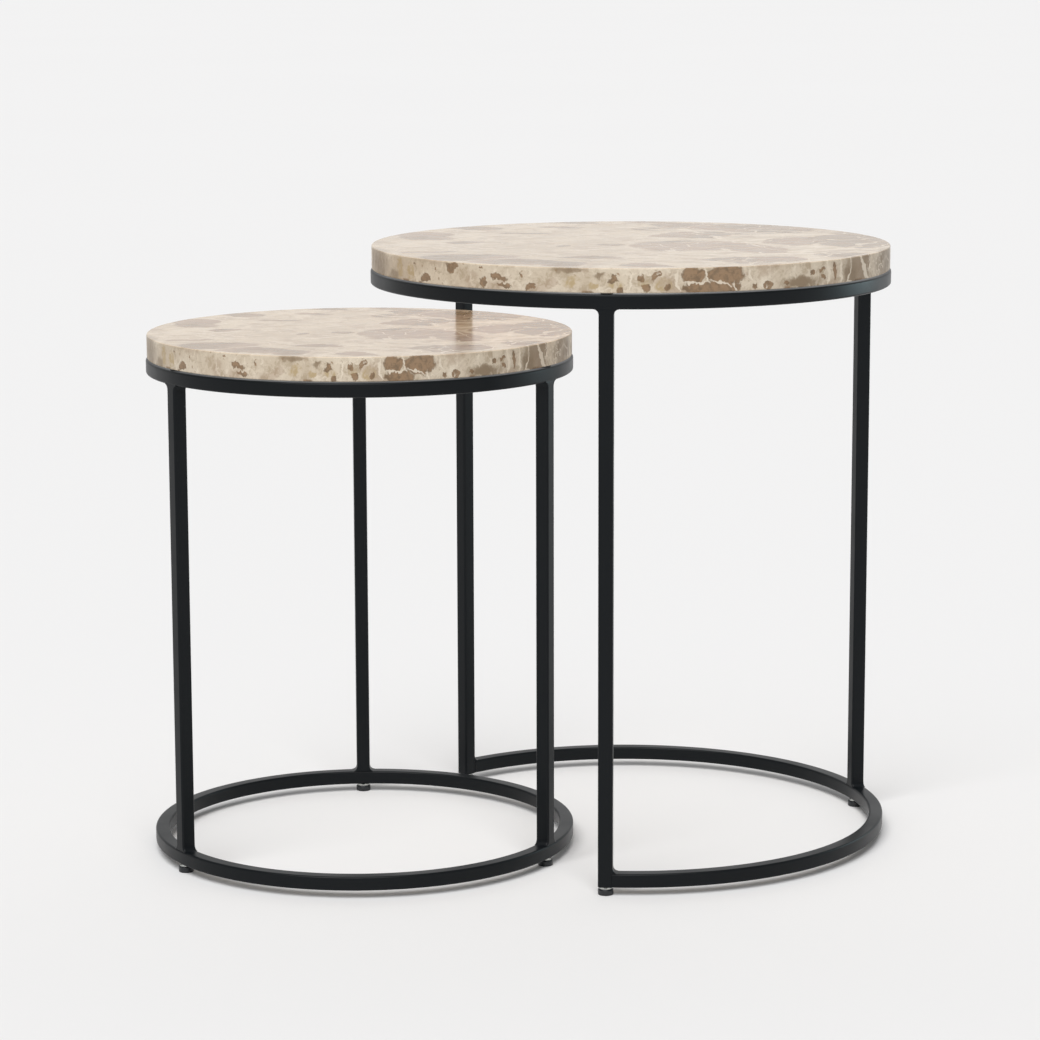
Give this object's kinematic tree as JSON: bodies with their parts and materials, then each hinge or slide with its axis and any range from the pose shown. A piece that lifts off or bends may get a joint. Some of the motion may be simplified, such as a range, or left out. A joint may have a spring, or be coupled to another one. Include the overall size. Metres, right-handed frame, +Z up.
{
  "type": "nesting tables",
  "caption": "Round nesting side tables with polished marble tops on black square-tube frames; the smaller slides in through the larger one's open base.",
  "frame": {"origin": "on the floor, at the middle of the pair's bounding box, with the small table standing in front and to the left of the large one", "axes": "+Z up; +X from the small table towards the large table's right, along the pair's width; +Y away from the viewer"},
  "size_m": [0.6396, 0.4596, 0.52],
  "materials": {
    "marble": "polished cream and taupe marble with brown fragments and white veins",
    "black_powder_coat": "satin black powder coat",
    "black_rubber": "matt",
    "black_plastic": "moulded, semi-gloss",
    "zinc_plated_steel": "bright zinc plating"
  },
  "bodies": {
    "large_table": {"large_marble_top": "marble", "large_top_ring": "black_powder_coat", "large_base_arc": "black_powder_coat", "large_leg_front": "black_powder_coat", "large_bumper_front": "black_rubber", "large_insert_front": "zinc_plated_steel", "large_leg_right": "black_powder_coat", "large_bumper_right": "black_rubber", "large_insert_right": "zinc_plated_steel", "large_leg_left": "black_powder_coat", "large_bumper_left": "black_rubber", "large_insert_left": "zinc_plated_steel"},
    "small_table": {"small_marble_top": "marble", "small_top_ring": "black_powder_coat", "small_base_ring": "black_powder_coat", "small_leg_rear": "black_powder_coat", "small_bumper_rear": "black_rubber", "small_insert_rear": "zinc_plated_steel", "small_leg_left": "black_powder_coat", "small_bumper_left": "black_rubber", "small_insert_left": "zinc_plated_steel", "small_leg_right": "black_powder_coat", "small_bumper_right": "black_rubber", "small_insert_right": "zinc_plated_steel"},
    "large_front_pad": {"large_glide_pad_front": "black_plastic"},
    "large_front_stud": {"large_glide_stud_front": "zinc_plated_steel"},
    "large_right_pad": {"large_glide_pad_right": "black_plastic"},
    "large_right_stud": {"large_glide_stud_right": "zinc_plated_steel"},
    "large_left_pad": {"large_glide_pad_left": "black_plastic"},
    "large_left_stud": {"large_glide_stud_left": "zinc_plated_steel"},
    "small_rear_pad": {"small_glide_pad_rear": "black_plastic"},
    "small_rear_stud": {"small_glide_stud_rear": "zinc_plated_steel"},
    "small_left_pad": {"small_glide_pad_left": "black_plastic"},
    "small_left_stud": {"small_glide_stud_left": "zinc_plated_steel"},
    "small_right_pad": {"small_glide_pad_right": "black_plastic"},
    "small_right_stud": {"small_glide_stud_right": "zinc_plated_steel"}
  },
  "joints": [
    {"name": "nest_slide", "type": "slide", "parent": "large_table", "child": "small_table", "axis": [0.9876, 0.1571, 0], "range_m": [-0.18, 0.25]},
    {"name": "large_front_level", "type": "slide", "parent": "large_table", "child": "large_front_pad", "axis": [0, 0, -1], "range_m": [0, 0.005]},
    {"name": "large_front_screw", "type": "hinge", "parent": "large_front_pad", "child": "large_front_stud", "pos_m": [0.07186, -0.21305, 0], "axis": [0, 0, -1], "range_deg": [0, 1800]},
    {"name": "large_right_level", "type": "slide", "parent": "large_table", "child": "large_right_pad", "axis": [0, 0, -1], "range_m": [0, 0.005]},
    {"name": "large_right_screw", "type": "hinge", "parent": "large_right_pad", "child": "large_right_stud", "pos_m": [0.30243, 0.07424, 0], "axis": [0, 0, -1], "range_deg": [0, 1800]},
    {"name": "large_left_level", "type": "slide", "parent": "large_table", "child": "large_left_pad", "axis": [0, 0, -1], "range_m": [0, 0.005]},
    {"name": "large_left_screw", "type": "hinge", "parent": "large_left_pad", "child": "large_left_stud", "pos_m": [-0.05461, 0.16492, 0], "axis": [0, 0, -1], "range_deg": [0, 1800]},
    {"name": "small_rear_level", "type": "slide", "parent": "small_table", "child": "small_rear_pad", "axis": [0, 0, -1], "range_m": [0, 0.005]},
    {"name": "small_rear_screw", "type": "hinge", "parent": "small_rear_pad", "child": "small_rear_stud", "pos_m": [-0.14956, 0.12882, 0], "axis": [0, 0, -1], "range_deg": [0, 1800]},
    {"name": "small_left_level", "type": "slide", "parent": "small_table", "child": "small_left_pad", "axis": [0, 0, -1], "range_m": [0, 0.005]},
    {"name": "small_left_screw", "type": "hinge", "parent": "small_left_pad", "child": "small_left_stud", "pos_m": [-0.28358, -0.14595, 0], "axis": [0, 0, -1], "range_deg": [0, 1800]},
    {"name": "small_right_level", "type": "slide", "parent": "small_table", "child": "small_right_pad", "axis": [0, 0, -1], "range_m": [0, 0.005]},
    {"name": "small_right_screw", "type": "hinge", "parent": "small_right_pad", "child": "small_right_stud", "pos_m": [0.02139, -0.12462, 0], "axis": [0, 0, -1], "range_deg": [0, 1800]}
  ],
  "couplings": [
    {"joint": "large_front_screw", "follows": "large_front_level", "rad_per_m": 6283.2},
    {"joint": "large_right_screw", "follows": "large_right_level", "rad_per_m": 6283.2},
    {"joint": "large_left_screw", "follows": "large_left_level", "rad_per_m": 6283.2},
    {"joint": "small_rear_screw", "follows": "small_rear_level", "rad_per_m": 6283.2},
    {"joint": "small_left_screw", "follows": "small_left_level", "rad_per_m": 6283.2},
    {"joint": "small_right_screw", "follows": "small_right_level", "rad_per_m": 6283.2}
  ]
}
